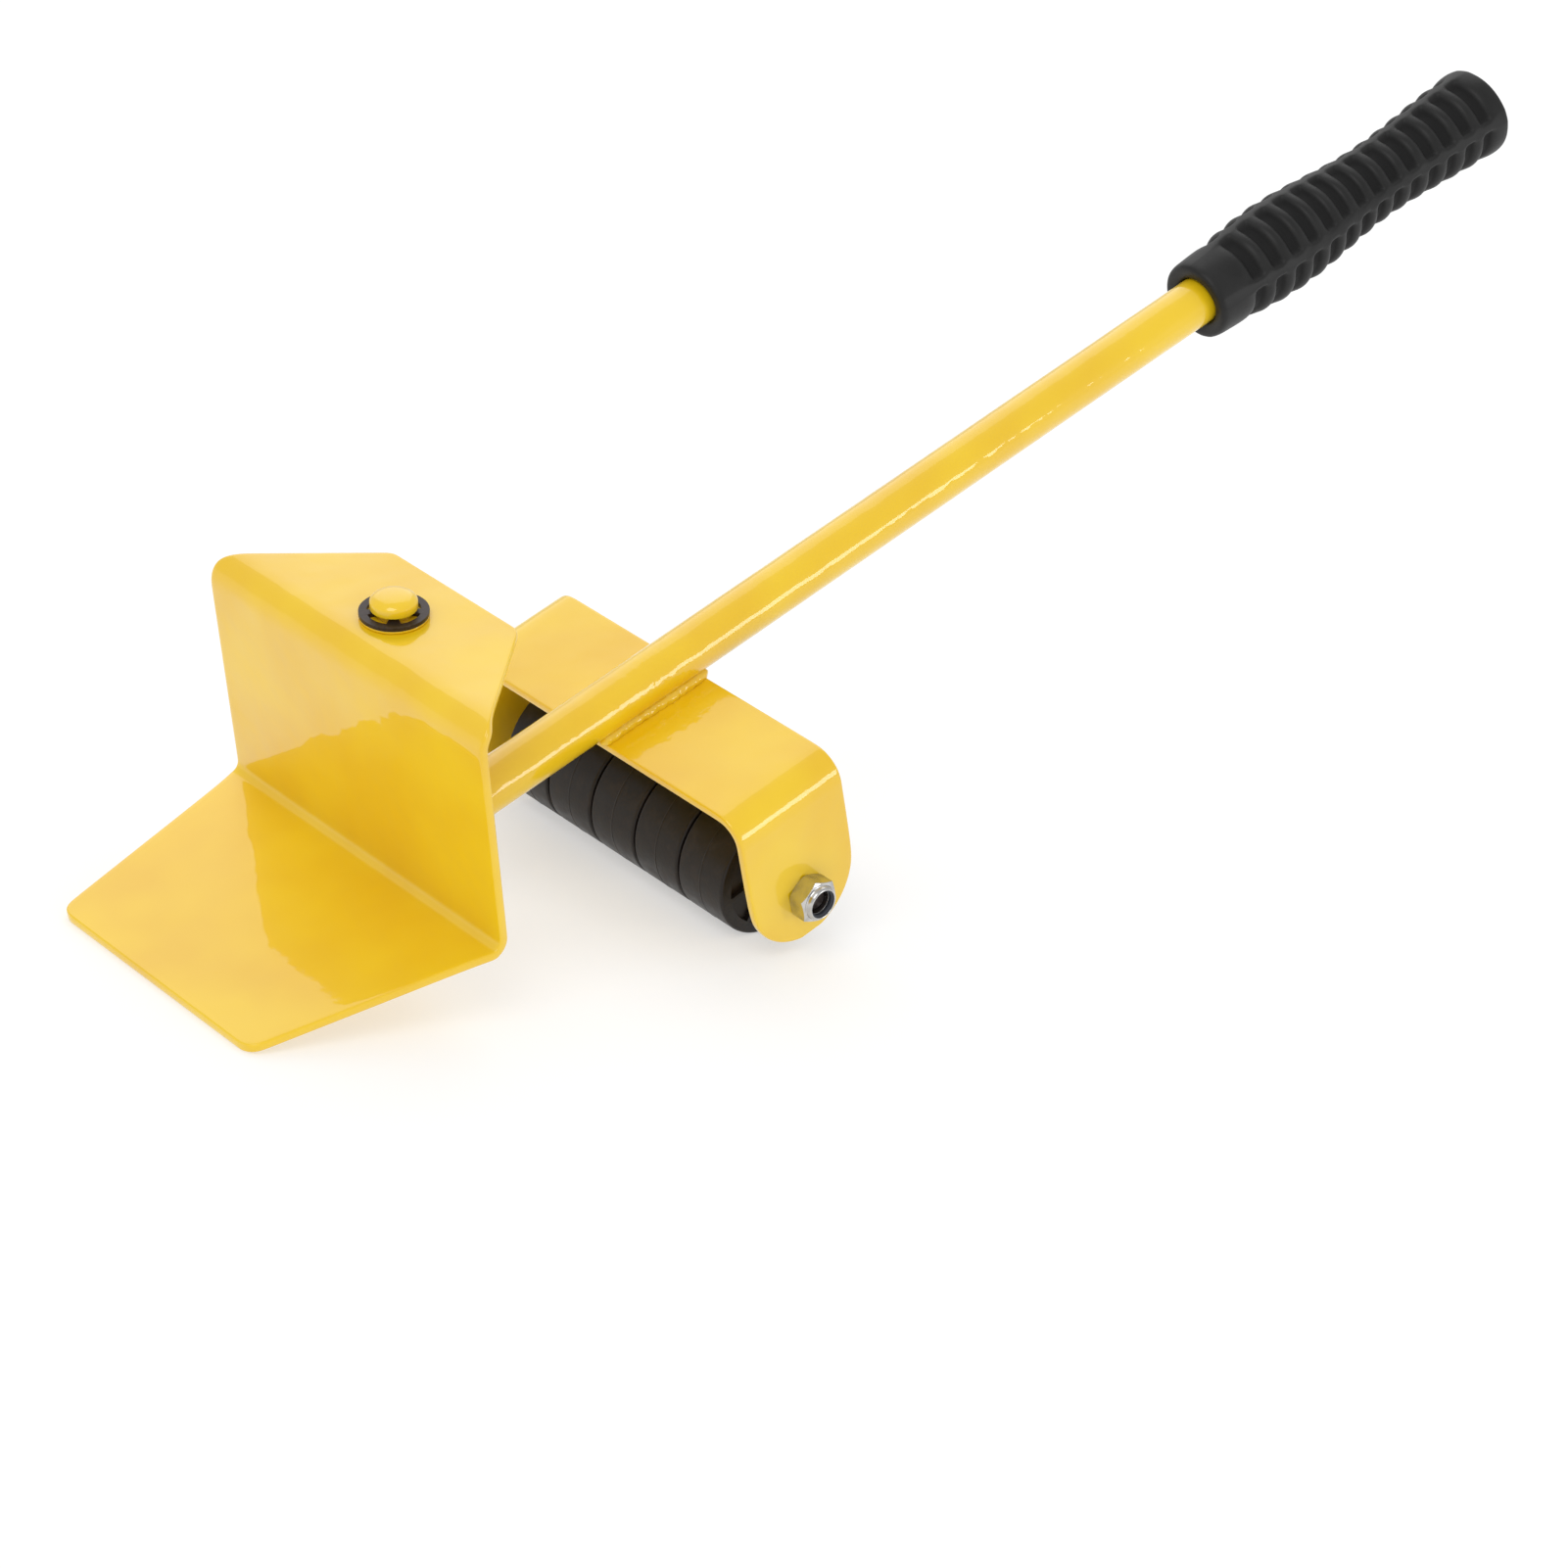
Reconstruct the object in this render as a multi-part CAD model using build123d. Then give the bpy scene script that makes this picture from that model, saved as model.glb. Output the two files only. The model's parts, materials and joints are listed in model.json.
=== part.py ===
from build123d import *
import math
import os

# Toe jack: a bent steel lever with a grip, a fulcrum bracket holding a row of rollers,
# and a Z-bent lifting plate that swivels on the upturned front end of the lever.
#
# The pieces are drawn in the head frame: origin where the swivel axis meets the top face of
# the lifting plate, +X towards the handle, +Z up the swivel axis. floor_placement() stands them on
# the floor, toe edge and rollers down. The bar frame runs along the straight part of the
# lever: s along it (local X), across (Y), and h square to it (local Z).

# ---- Driving dimensions, millimetres and degrees ----
SHEET = 3.0                      # plate thickness of the lifting plate and the bracket

# Lifting plate, measured on its upper and front faces
TOP_BACK_X = 22.4                # back edge of the top flange, behind the swivel axis
TOP_FRONT_X = -20.3              # upper bend line
WEB_LENGTH = 76.9
WEB_LEAN = 5.0                   # the web's foot stands this much nearer the handle
TOE_LENGTH = 77.6
UPPER_BEND_OUTER = 8.5
UPPER_BEND_INNER = UPPER_BEND_OUTER - SHEET
LOWER_BEND_INNER = 3.0
LOWER_BEND_OUTER = LOWER_BEND_INNER + SHEET
PLATE_HALF_WIDTH = 62.2
TOP_BACK_HALF_WIDTH = 28.6
TOE_TIP_HALF_WIDTH = 45.1
TOP_TAPER_START_X = -17.0
TOE_TAPER_START_X = -14.0
TOP_CORNER_RADIUS = 4.5
TOE_CORNER_RADIUS = 6.0
SPLIT_Z = -40.0                  # level on the web between the two tapered outlines

# Lever bar
BAR_DIAMETER = 16.0
BAR_WALL = 2.0
BAR_RISE = 11.0                  # slope of the bar against the top flange
BAR_AXIS_Z = -78.9               # bar axis where it would cross the swivel axis
BAR_BEND_RADIUS = 24.0
BAR_END_S = 474.0

# Swivel joint
PIN_DIAMETER = 14.0
PIN_TOP_Z = 7.5
PIN_CHAMFER = 1.6
PIN_SPIGOT_LENGTH = 20.0
FIT_GAP = 0.05                   # radial gap of a running fit
PRESS_GAP = 0.02
AXIAL_GAP = 0.1
LOWER_WASHER_THICK = 2.0
UPPER_WASHER_THICK = 1.0
SWIVEL_WASHER_DIAMETER = 20.0
CLIP_THICK = 1.2
CLIP_DIAMETER = 20.4
CLIP_RING_INNER_RADIUS = 7.9
CLIP_SEAT_RADIUS = 5.0
CLIP_OPENING_ANGLE = 51.0        # direction of the open side, from +X towards +Y
CLIP_OPENING_WIDTH = 9.6
CLIP_SIDE_PRONG = (87.0, 107.0)  # each side prong, from the middle of the open side
CLIP_BACK_PRONG = (165.0, 195.0)
GROOVE_WIDTH = 2.2               # wider than the clip, which lies on the upper washer

# Fulcrum bracket, in the bar frame
BRACKET_FRONT_S = 73.8
BRACKET_WIDTH = 41.2
BRACKET_HALF_SPAN = 65.6
BRACKET_BEND_OUTER = 9.5
EAR_HEIGHT = 57.0                # bracket top face to the lowest point of an ear

# Rollers and axle, in the bar frame
AXLE_DROP = 48.9                 # axle below the bar axis
AXLE_DIAMETER = 8.0
WHEEL_COUNT = 5
WHEEL_DIAMETER = 42.0
WHEEL_PITCH = 20.4
WHEEL_WIDTH = 20.0
WHEEL_EDGE = 1.2
WHEEL_RECESS_DEPTH = 1.5
WHEEL_RIM = 4.0
WHEEL_HUB_DIAMETER = 15.0
WHEEL_SPOKES = 8
WHEEL_SPOKE_THICK = 1.6
SPACER_DIAMETER = 12.0
BOLT_HEAD_FLATS = 13.0
BOLT_HEAD_HEIGHT = 5.3
NUT_FLATS = 13.0
NUT_HEIGHT = 8.0
NUT_COLLAR_HEIGHT = 1.8
NUT_COLLAR_RADIUS = 5.6
NUT_LIP = 0.5                    # metal rolled over the insert
INSERT_THICK = 1.6
INSERT_RADIUS = 4.9
BOLT_END_RECESS = 3.2            # bolt end below the nut's rim

# Welds between bar and bracket
WELD_OFFSET = 5.6                # across, from the bar axis
WELD_HEIGHT = -6.6
WELD_RADIUS = 2.5
WELD_RIPPLES = 15
WELD_OVERRUN = 3.0               # bead past the bracket's back edge

# Hand grip: places along it are measured from its mouth, angles from -Y towards the top
GRIP_MOUTH_S = 341.0
GRIP_LENGTH = 141.0
GRIP_MOUTH_RADIUS = 13.7
GRIP_CREST_AT = 39.0
GRIP_CREST_RADIUS = 16.5
GRIP_WAIST_AT = 88.0
GRIP_WAIST_RADIUS = 13.4
GRIP_END_RADIUS = 15.9
GRIP_ROUNDING = 2.0
POCKET_DEPTH = 2.4
POCKET_LENGTH = 4.6
POCKET_PITCH = 8.68
POCKET_COUNT = 14
POCKET_FIRST_AT = 17.8
RIB_WIDTH = 3.8
RIB_ANGLES = (16.0, 106.0, 196.0, 286.0)

# ---- Derived values ----
BAR_RADIUS = BAR_DIAMETER / 2
BORE_RADIUS = BAR_RADIUS - BAR_WALL
PIN_RADIUS = PIN_DIAMETER / 2
LOWER_WASHER_TOP = -SHEET - AXIAL_GAP
TUBE_TOP_Z = LOWER_WASHER_TOP - LOWER_WASHER_THICK
CLIP_Z = AXIAL_GAP + UPPER_WASHER_THICK
BRACKET_TOP = -BAR_RADIUS
AXLE_RADIUS = AXLE_DIAMETER / 2
AXLE_S = BRACKET_FRONT_S + BRACKET_WIDTH / 2
EAR_END_RADIUS = BRACKET_WIDTH / 2
WHEEL_RADIUS = WHEEL_DIAMETER / 2
STACK_HALF = WHEEL_PITCH * WHEEL_COUNT / 2
EAR_INNER = BRACKET_HALF_SPAN - SHEET


def heading(degrees):
    """Unit vector in the X-Z plane, from +X towards +Z."""
    return Vector(math.cos(math.radians(degrees)), math.sin(math.radians(degrees)))


def bar_frame(s=0.0, across=0.0, h=0.0):
    """Location in the head frame of a point of the bar frame."""
    return Location((0, 0, BAR_AXIS_Z), (0, -BAR_RISE, 0)) * Location((s, across, h))


def along_bar(s, across=0.0, h=0.0):
    """Bar-frame location whose Z axis points along the bar."""
    return bar_frame(s, across, h) * Location((0, 0, 0), (0, 90, 0))


def across_bar(s, across, h):
    """Bar-frame location whose Z axis points across the bar, towards +Y."""
    return bar_frame(s, across, h) * Location((0, 0, 0), (-90, 0, 0))


def turned(profile):
    """Solid of revolution about Z from (radius, height) points."""
    points = [(radius, 0, height) for radius, height in profile]
    face = make_face(Polyline(*points, close=True).edges())
    return revolve(face, Axis.Z)


def plate_corners():
    """Corners of the lifting plate's upper face, then of its lower face, as (x, z)."""
    down = heading(WEB_LEAN - 90)
    forward = heading(180 + WEB_LEAN)
    web_normal = heading(WEB_LEAN)
    toe_normal = heading(WEB_LEAN - 90)
    back = Vector(TOP_BACK_X, 0)
    upper = Vector(TOP_FRONT_X, 0)
    crease = upper + down * WEB_LENGTH
    tip = crease + forward * TOE_LENGTH
    back_under = back - Vector(0, SHEET)
    lean = math.radians(WEB_LEAN)
    upper_under = Vector(TOP_FRONT_X + SHEET * (1 + math.sin(lean)) / math.cos(lean), -SHEET)
    crease_under = crease + web_normal * SHEET + toe_normal * SHEET
    tip_under = tip + toe_normal * SHEET
    return (back, upper, crease, tip), (back_under, upper_under, crease_under, tip_under)


def lifting_plate():
    """Sheet bent twice: top flange with the swivel hole, leaning web, and toe."""
    above, below = plate_corners()
    top_line = FilletPolyline(*above, radius=[UPPER_BEND_OUTER, LOWER_BEND_INNER])
    under_line = FilletPolyline(*below, radius=[UPPER_BEND_INNER, LOWER_BEND_OUTER])
    back_edge = Line(above[0], below[0])
    tip_edge = Line(above[-1], below[-1])
    lines = [*top_line.edges(), *under_line.edges(), back_edge, tip_edge]
    sheet = extrude(Plane.XZ * make_face(lines), PLATE_HALF_WIDTH, both=True)
    half = PLATE_HALF_WIDTH
    flange = Polygon(
        (TOP_BACK_X, -TOP_BACK_HALF_WIDTH), (TOP_BACK_X, TOP_BACK_HALF_WIDTH),
        (TOP_TAPER_START_X, half), (-2 * half, half),
        (-2 * half, -half), (TOP_TAPER_START_X, -half), align=None)
    flange = fillet(flange.vertices().group_by(Axis.X)[-1], TOP_CORNER_RADIUS)
    tip_x = above[-1].X
    toe = Polygon(
        (tip_x, TOE_TIP_HALF_WIDTH), (tip_x, -TOE_TIP_HALF_WIDTH),
        (TOE_TAPER_START_X, -half), (half, -half),
        (half, half), (TOE_TAPER_START_X, half), align=None)
    toe = fillet(toe.vertices().group_by(Axis.X)[0], TOE_CORNER_RADIUS)
    upper_prism = Pos(0, 0, SPLIT_Z) * extrude(flange, -SPLIT_Z + SHEET)
    lower_prism = Pos(0, 0, SPLIT_Z) * extrude(toe, -2 * PLATE_HALF_WIDTH)
    plate = (sheet & upper_prism) + (sheet & lower_prism)
    return plate - Cylinder(PIN_RADIUS + FIT_GAP, 4 * SHEET)


def lever_path():
    """Centreline of the bar: down the upturned post, round the bend, out to the grip."""
    top = Vector(0, 0, TUBE_TOP_Z)
    corner = Vector(0, 0, BAR_AXIS_Z)
    end = bar_frame(BAR_END_S).position
    return FilletPolyline(top, corner, end, radius=BAR_BEND_RADIUS)


def lever_bar():
    """Round tube, turned up at the front to carry the swivel pin."""
    section = Circle(BAR_RADIUS) - Circle(BORE_RADIUS)
    return sweep(Plane((0, 0, TUBE_TOP_Z), z_dir=(0, 0, -1)) * section, path=lever_path())


def pivot_pin():
    """Turned plug: a spigot in the tube and a journal through the lifting plate."""
    spigot = BORE_RADIUS - PRESS_GAP
    groove_low = CLIP_Z - FIT_GAP
    groove_high = groove_low + GROOVE_WIDTH
    return turned([
        (0, TUBE_TOP_Z - PIN_SPIGOT_LENGTH), (spigot - 1, TUBE_TOP_Z - PIN_SPIGOT_LENGTH),
        (spigot, TUBE_TOP_Z - PIN_SPIGOT_LENGTH + 1), (spigot, TUBE_TOP_Z),
        (PIN_RADIUS, TUBE_TOP_Z), (PIN_RADIUS, groove_low),
        (CLIP_SEAT_RADIUS, groove_low), (CLIP_SEAT_RADIUS, groove_high),
        (PIN_RADIUS, groove_high), (PIN_RADIUS, PIN_TOP_Z - PIN_CHAMFER),
        (PIN_RADIUS - PIN_CHAMFER, PIN_TOP_Z), (0, PIN_TOP_Z)])


def pivot_washer(low_z, thick):
    """Flat washer round the swivel pin."""
    ring = Circle(SWIVEL_WASHER_DIAMETER / 2) - Circle(PIN_RADIUS + FIT_GAP)
    return Pos(0, 0, low_z) * extrude(ring, thick)


def e_clip():
    """Three-pronged retaining clip in the pin's groove."""
    outer = CLIP_DIAMETER / 2
    opening = Pos(outer, 0) * Rectangle(2 * outer, CLIP_OPENING_WIDTH)
    body = Circle(outer) - Circle(CLIP_RING_INNER_RADIUS) - opening
    prongs = Circle((outer + CLIP_RING_INNER_RADIUS) / 2) - Circle(CLIP_SEAT_RADIUS + PRESS_GAP)
    left_start, left_end = CLIP_SIDE_PRONG
    for start, end in (CLIP_SIDE_PRONG, CLIP_BACK_PRONG, (-left_end, -left_start)):
        first = Vector(*heading(start)) * 2 * outer
        last = Vector(*heading(end)) * 2 * outer
        sector = make_face(Polyline((0, 0), first, last, close=True).edges())
        body += sector & prongs
    return Location((0, 0, CLIP_Z), (0, 0, CLIP_OPENING_ANGLE)) * extrude(body, CLIP_THICK)


def roller_bracket():
    """Sheet bent down at both ends into round-ended ears that carry the axle."""
    inner_bend = BRACKET_BEND_OUTER - SHEET
    ear_foot = BRACKET_TOP - EAR_HEIGHT
    width = 2 * BRACKET_HALF_SPAN
    outer = Pos(0, (BRACKET_TOP + ear_foot) / 2) * Rectangle(width, EAR_HEIGHT)
    outer = fillet(outer.vertices().group_by(Axis.Y)[-1], BRACKET_BEND_OUTER)
    inner_top = BRACKET_TOP - SHEET
    inner = Pos(0, (inner_top + ear_foot) / 2 - SHEET) * Rectangle(
        width - 2 * SHEET, inner_top - ear_foot + 2 * SHEET)
    inner = fillet(inner.vertices().group_by(Axis.Y)[-1], inner_bend)
    channel = extrude(bar_frame(BRACKET_FRONT_S) * (Plane.YZ * (outer - inner)), BRACKET_WIDTH)
    round_centre = ear_foot + EAR_END_RADIUS
    side = Pos(0, round_centre) * Circle(EAR_END_RADIUS)
    side += Pos(0, round_centre + EAR_HEIGHT / 2) * Rectangle(BRACKET_WIDTH, EAR_HEIGHT)
    outline = extrude(bar_frame(AXLE_S) * (Plane.XZ * side), BRACKET_HALF_SPAN + 1, both=True)
    hole = across_bar(AXLE_S, 0, -AXLE_DROP) * Cylinder(AXLE_RADIUS + FIT_GAP, 2 * width)
    return (channel & outline) - hole


def hexagon(flats):
    """Regular hexagon by its width across flats."""
    return RegularPolygon(flats / 2, 6, major_radius=False)


def hex_blank(flats, height):
    """Hexagonal prism standing on Z = 0, its free corners turned off by a 30 degree cone."""
    corner = flats / math.sqrt(3)
    drop = (corner - flats / 2) * math.tan(math.radians(30))
    cone = turned([(0, 0), (corner, 0), (corner, height - drop), (flats / 2, height), (0, height)])
    return extrude(hexagon(flats), height) & cone


def axle_bolt():
    """Hexagon-head bolt right across the bracket, its head on the +Y ear."""
    nut_face = BRACKET_HALF_SPAN + NUT_HEIGHT - BOLT_END_RECESS
    length = BRACKET_HALF_SPAN + nut_face
    shank = turned([
        (0, 0), (AXLE_RADIUS, 0), (AXLE_RADIUS, -length + 1),
        (AXLE_RADIUS - 1, -length), (0, -length)])
    head = hex_blank(BOLT_HEAD_FLATS, BOLT_HEAD_HEIGHT)
    return across_bar(AXLE_S, BRACKET_HALF_SPAN, -AXLE_DROP) * (head + shank)


def on_nut_side():
    """Location on the -Y ear's outer face, Z pointing away from the bracket."""
    return across_bar(AXLE_S, -BRACKET_HALF_SPAN, -AXLE_DROP) * Location((0, 0, 0), (180, 0, 0))


def axle_nut():
    """Locking nut: hexagon with a round collar that holds the plastic insert."""
    hexagon_height = NUT_HEIGHT - NUT_COLLAR_HEIGHT
    collar = Pos(0, 0, hexagon_height) * extrude(Circle(NUT_COLLAR_RADIUS), NUT_COLLAR_HEIGHT)
    body = hex_blank(NUT_FLATS, hexagon_height) + collar
    body -= Cylinder(AXLE_RADIUS + PRESS_GAP, 4 * NUT_HEIGHT)
    pocket_low = NUT_HEIGHT - NUT_LIP - INSERT_THICK
    body -= Pos(0, 0, pocket_low) * extrude(Circle(INSERT_RADIUS), NUT_HEIGHT)
    return on_nut_side() * body


def nut_insert():
    """Plastic locking ring inside the nut's collar."""
    ring = Circle(INSERT_RADIUS - PRESS_GAP) - Circle(AXLE_RADIUS + PRESS_GAP)
    low = NUT_HEIGHT - NUT_LIP - INSERT_THICK
    return on_nut_side() * (Pos(0, 0, low) * extrude(ring, INSERT_THICK))


def spacer(side):
    """Sleeve that fills the gap between the roller row and an ear."""
    length = EAR_INNER - STACK_HALF - 2 * AXIAL_GAP
    middle = side * (EAR_INNER + STACK_HALF) / 2
    ring = Cylinder(SPACER_DIAMETER / 2, length) - Cylinder(AXLE_RADIUS + FIT_GAP, 2 * length)
    return across_bar(AXLE_S, middle, -AXLE_DROP) * ring


def wheel(number):
    """Moulded roller with a recessed, spoked face on each side."""
    half = WHEEL_WIDTH / 2
    edge = WHEEL_EDGE
    disc = Cylinder(WHEEL_RADIUS, WHEEL_WIDTH)
    disc = fillet(disc.edges().filter_by(GeomType.CIRCLE), edge)
    recess = Circle(WHEEL_RADIUS - WHEEL_RIM) - Circle(WHEEL_HUB_DIAMETER / 2)
    for turn in range(WHEEL_SPOKES // 2):
        angle = turn * 360 / WHEEL_SPOKES
        recess -= Rot(0, 0, angle) * Rectangle(WHEEL_DIAMETER, WHEEL_SPOKE_THICK)
    pocket = extrude(recess, WHEEL_RECESS_DEPTH)
    disc -= Pos(0, 0, half - WHEEL_RECESS_DEPTH) * pocket
    disc -= Pos(0, 0, -half) * pocket
    disc -= Cylinder(AXLE_RADIUS + FIT_GAP, 2 * WHEEL_WIDTH)
    offset = (number - (WHEEL_COUNT - 1) / 2) * WHEEL_PITCH
    return across_bar(AXLE_S, offset, -AXLE_DROP) * disc


def weld(side, bar, bracket):
    """Rippled weld bead along one side of the bar, on top of the bracket."""
    step = (BRACKET_WIDTH + WELD_OVERRUN) / (WELD_RIPPLES - 1)
    beads = [
        bar_frame(BRACKET_FRONT_S + number * step, side * WELD_OFFSET, WELD_HEIGHT)
        * Sphere(WELD_RADIUS)
        for number in range(WELD_RIPPLES)]
    run = beads[0].fuse(*beads[1:])
    return run - bar - bracket


def grip_radius(distance):
    """Outside radius of the grip, smoothly through mouth, crest, waist and end."""
    knots = [
        (0.0, GRIP_MOUTH_RADIUS), (GRIP_CREST_AT, GRIP_CREST_RADIUS),
        (GRIP_WAIST_AT, GRIP_WAIST_RADIUS), (GRIP_LENGTH, GRIP_END_RADIUS)]
    for (start, low), (end, high) in zip(knots, knots[1:]):
        if distance <= end:
            blend = (1 - math.cos(math.pi * (distance - start) / (end - start))) / 2
            return low + (high - low) * blend
    return GRIP_END_RADIUS


def grip_skin(inset):
    """Turned outline of the grip, its outside brought in by inset, closed at the far end."""
    steps = 16
    points = []
    for number in range(steps + 1):
        distance = GRIP_ROUNDING + (GRIP_LENGTH - 2 * GRIP_ROUNDING) * number / steps
        points.append((grip_radius(distance) - inset, distance))
    side = Spline(*[(radius, 0, z) for radius, z in points])
    low = (points[0][0] - GRIP_ROUNDING, 0, 0)
    high = (points[-1][0] - GRIP_ROUNDING, 0, GRIP_LENGTH)
    lines = [
        Line((0, 0, 0), low), Line(low, side @ 0), side,
        Line(side @ 1, high), Line(high, (0, 0, GRIP_LENGTH)),
        Line((0, 0, GRIP_LENGTH), (0, 0, 0))]
    return revolve(make_face(lines), Axis.Z)


def hand_grip():
    """Moulded sleeve over the bar's end; rows of pockets leave raised rings and four ribs."""
    reach = 2 * GRIP_CREST_RADIUS
    pockets = Part()
    for number in range(POCKET_COUNT):
        middle = POCKET_FIRST_AT + POCKET_PITCH * number
        pockets += Pos(0, 0, middle) * Cylinder(reach, POCKET_LENGTH)
    for angle in RIB_ANGLES:
        rib = Pos(reach / 2, 0, GRIP_LENGTH / 2) * Box(reach, RIB_WIDTH, GRIP_LENGTH)
        pockets -= Rot(0, 0, 90 + angle) * rib
    skin = grip_skin(0)
    grip = skin - (pockets - grip_skin(POCKET_DEPTH))
    bore = BAR_END_S - GRIP_MOUTH_S + AXIAL_GAP
    grip -= Pos(0, 0, bore / 2) * Cylinder(BAR_RADIUS + PRESS_GAP, bore)
    return along_bar(GRIP_MOUTH_S) * grip


def floor_placement(parts):
    """Tilt that puts the toe's front edge and the rollers on the floor, then centres."""
    above, below = plate_corners()
    toe_edge = below[-1]
    axle = bar_frame(AXLE_S, 0, -AXLE_DROP).position
    across = math.hypot(axle.X - toe_edge.X, axle.Z - toe_edge.Y)
    slope = math.degrees(math.atan2(toe_edge.Y - axle.Z, axle.X - toe_edge.X))
    tilt = slope + math.degrees(math.asin(WHEEL_RADIUS / across))
    stand = Location((0, 0, 0), (0, -tilt, 0))
    box = Compound(children=[stand * part for part in parts.values()]).bounding_box()
    centre = box.center()
    return Location((-centre.X, -centre.Y, -box.min.Z)) * stand, tilt


def build():
    """All the sub-parts by name, in the head frame."""
    bar = lever_bar()
    bracket = roller_bracket()
    parts = {
        "lifting_plate": lifting_plate(),
        "lever_bar": bar,
        "pivot_pin": pivot_pin(),
        "pivot_washer_upper": pivot_washer(AXIAL_GAP, UPPER_WASHER_THICK),
        "pivot_washer_lower": pivot_washer(TUBE_TOP_Z, LOWER_WASHER_THICK),
        "e_clip": e_clip(),
        "roller_bracket": bracket,
        "weld_left": weld(1, bar, bracket),
        "weld_right": weld(-1, bar, bracket),
        "axle_bolt": axle_bolt(),
        "axle_nut": axle_nut(),
        "nut_insert": nut_insert(),
        "spacer_left": spacer(1),
        "spacer_right": spacer(-1),
        "hand_grip": hand_grip(),
    }
    for number in range(WHEEL_COUNT):
        parts[f"wheel_{number + 1}"] = wheel(number)
    return parts


parts = build()
placement, tilt = floor_placement(parts)
os.makedirs("parts", exist_ok=True)
for name, part in parts.items():
    export_step(placement * part, f"parts/{name}.step")
pin_foot = (placement * Location((0, 0, 0))).position
axle_centre = (placement * bar_frame(AXLE_S, 0, -AXLE_DROP)).position
print("tilt", round(tilt, 4), "swivel origin", pin_foot, "axle", axle_centre)
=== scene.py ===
import json
import math

import bmesh
import bpy
from mathutils import Matrix, Vector

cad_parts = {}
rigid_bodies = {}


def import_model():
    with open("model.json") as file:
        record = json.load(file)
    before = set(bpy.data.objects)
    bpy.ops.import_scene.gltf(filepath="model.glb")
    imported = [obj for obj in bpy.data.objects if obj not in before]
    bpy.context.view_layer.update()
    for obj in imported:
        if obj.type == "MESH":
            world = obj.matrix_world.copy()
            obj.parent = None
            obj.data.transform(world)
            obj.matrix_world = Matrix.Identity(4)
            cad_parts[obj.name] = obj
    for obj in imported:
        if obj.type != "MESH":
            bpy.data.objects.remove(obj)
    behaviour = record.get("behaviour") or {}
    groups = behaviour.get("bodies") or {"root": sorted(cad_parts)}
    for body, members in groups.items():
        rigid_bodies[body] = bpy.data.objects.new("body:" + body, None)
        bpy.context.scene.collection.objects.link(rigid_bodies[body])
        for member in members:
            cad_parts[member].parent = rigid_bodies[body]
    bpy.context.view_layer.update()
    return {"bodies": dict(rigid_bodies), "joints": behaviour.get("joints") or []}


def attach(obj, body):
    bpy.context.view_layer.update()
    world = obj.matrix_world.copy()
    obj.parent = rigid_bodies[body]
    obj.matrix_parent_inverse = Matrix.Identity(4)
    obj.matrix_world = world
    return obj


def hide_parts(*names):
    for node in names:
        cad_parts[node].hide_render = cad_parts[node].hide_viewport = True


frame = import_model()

bl_info = {
    "name": "Toe Jack",
    "version": (1, 0, 0),
    "blender": (4, 5, 0),
    "location": "View3D > Sidebar > Toe Jack",
    "description": "Builds the detailed pieces of a lever toe jack around its packed CAD model",
    "category": "Object",
}

MM = 0.001
JOINTS = {joint["name"]: joint for joint in frame["joints"]}

# Heights along the swivel axis, above the top flange's upper face.
TUBE_TOP = -5.1 * MM
PLATE_SEAT = -3.1 * MM
CLIP_SEAT = 1.1 * MM


# ---- Colours and properties ----

def linear(code):
    """Linear RGB of an sRGB hex colour such as "F2C21B"."""
    channels = [int(code[start:start + 2], 16) / 255 for start in (0, 2, 4)]
    return [c / 12.92 if c <= 0.04045 else ((c + 0.055) / 1.055) ** 2.4 for c in channels]


def length(label, millimetres, text):
    """A length property, given here in millimetres and kept in metres."""
    return bpy.props.FloatProperty(
        name=label, description=text, default=millimetres * MM, unit="LENGTH", precision=5)


def turn(label, degrees, text):
    """An angle property, given here in degrees."""
    return bpy.props.FloatProperty(
        name=label, description=text, default=math.radians(degrees), subtype="ANGLE")


def colour(label, code, text):
    """A colour property from an sRGB hex code."""
    return bpy.props.FloatVectorProperty(
        name=label, description=text, default=linear(code), subtype="COLOR",
        size=3, min=0, max=1)


class ToeJackPlate(bpy.types.PropertyGroup):
    """Lifting plate, measured on its upper and front faces from the swivel axis."""
    sheet: length("Sheet thickness", 3.0, "Thickness of the plate and of the bracket")
    back: length("Top flange back", 22.4, "Back edge of the top flange, behind the swivel axis")
    front: length("Upper bend line", -20.3, "Where the top flange turns down into the web")
    web: length("Web length", 76.9, "Height of the web along its own slope")
    lean: turn("Web lean", 5.0, "Lean of the web, its foot towards the handle")
    toe: length("Toe length", 77.6, "Crease to the toe's front edge")
    upper_bend: length("Upper bend radius", 8.5, "Outer radius of the upper bend")
    lower_bend: length("Lower bend radius", 3.0, "Inner radius of the lower bend")
    half: length("Half width", 62.2, "Half the width of the web")
    back_half: length("Back half width", 28.6, "Half the width of the flange's back edge")
    tip_half: length("Tip half width", 45.1, "Half the width of the toe's front edge")
    back_corner: length("Back corner radius", 4.5, "Corner radius of the top flange")
    tip_corner: length("Tip corner radius", 6.0, "Corner radius of the toe")


class ToeJackLever(bpy.types.PropertyGroup):
    """Lever bar and its swivel end."""
    radius: length("Bar radius", 8.0, "Outside radius of the tube")
    wall: length("Tube wall", 2.0, "Wall of the tube")
    rise: turn("Bar slope", 11.0, "Slope of the bar against the top flange")
    drop: length("Bar drop", 78.9, "Bar axis below the top flange, at the swivel axis")
    bend: length("Bend radius", 24.0, "Centreline radius of the bend")
    end: length("Bar end", 474.0, "Distance along the bar of its far end")
    pin: length("Journal radius", 7.0, "Radius of the swivel journal")
    pin_top: length("Pin height", 7.5, "Top of the pin above the flange")
    clip: length("Clip radius", 10.2, "Outside radius of the retaining clip")


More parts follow.
